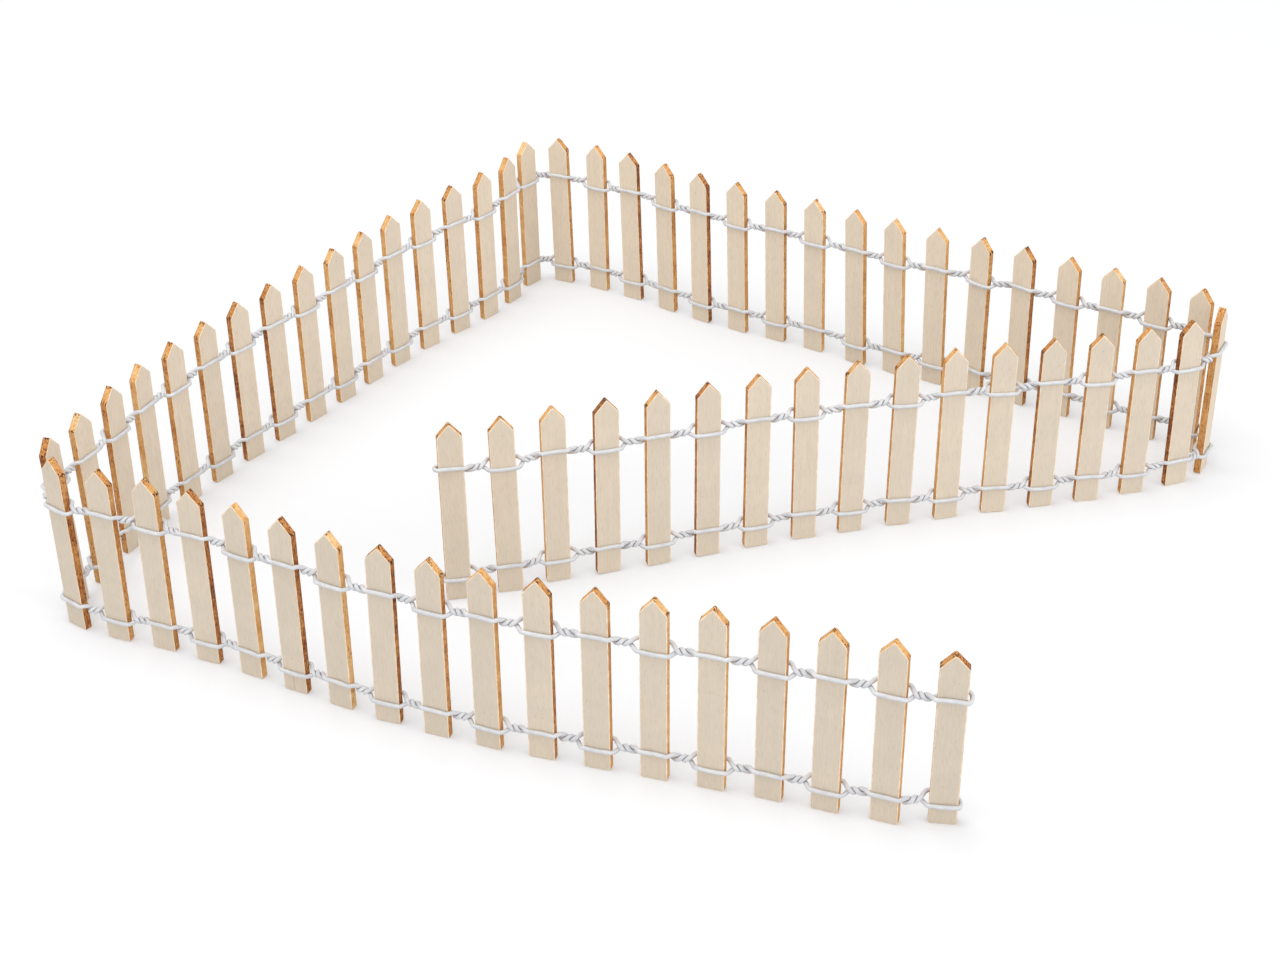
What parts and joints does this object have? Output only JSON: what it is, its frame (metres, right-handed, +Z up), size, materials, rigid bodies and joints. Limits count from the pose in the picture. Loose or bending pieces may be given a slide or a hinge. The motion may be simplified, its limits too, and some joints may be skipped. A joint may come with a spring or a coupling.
{
  "type": "flexible picket fence",
  "caption": "Miniature flexible picket fence: flat pointed wooden slats held by twisted paper-covered wires, bent into an open zigzag that stands on its own.",
  "frame": {"origin": "on the ground under the middle of the fence's footprint", "axes": "+Z up; +X to the right along the longest extent; +Y away from the side that the picture shows"},
  "size_m": [0.3056, 0.2768, 0.0501],
  "materials": {
    "slats": "bare pale slats with scorched brown edges",
    "wire": "white paper-covered wire, soft sheen"
  },
  "bodies": {
    "root": {"back_lower_rail_high_strand": "wire", "back_lower_rail_low_strand": "wire", "back_pickets_1": "slats", "back_pickets_2": "slats", "back_pickets_3": "slats", "back_pickets_4": "slats", "back_pickets_5": "slats", "back_pickets_6": "slats", "back_upper_rail_high_strand": "wire", "back_upper_rail_low_strand": "wire", "front_lower_rail_high_strand": "wire", "front_lower_rail_low_strand": "wire", "front_pickets_1": "slats", "front_pickets_2": "slats", "front_pickets_3": "slats", "front_pickets_4": "slats", "front_pickets_5": "slats", "front_pickets_6": "slats", "front_upper_rail_high_strand": "wire", "front_upper_rail_low_strand": "wire", "left_lower_rail_high_strand": "wire", "left_lower_rail_low_strand": "wire", "left_pickets_1": "slats", "left_pickets_2": "slats", "left_pickets_3": "slats", "left_pickets_4": "slats", "left_pickets_5": "slats", "left_pickets_6": "slats", "left_upper_rail_high_strand": "wire", "left_upper_rail_low_strand": "wire", "middle_lower_rail_high_strand": "wire", "middle_lower_rail_low_strand": "wire", "middle_pickets_1": "slats", "middle_pickets_2": "slats", "middle_pickets_3": "slats", "middle_pickets_4": "slats", "middle_upper_rail_high_strand": "wire", "middle_upper_rail_low_strand": "wire"}
  },
  "joints": []
}
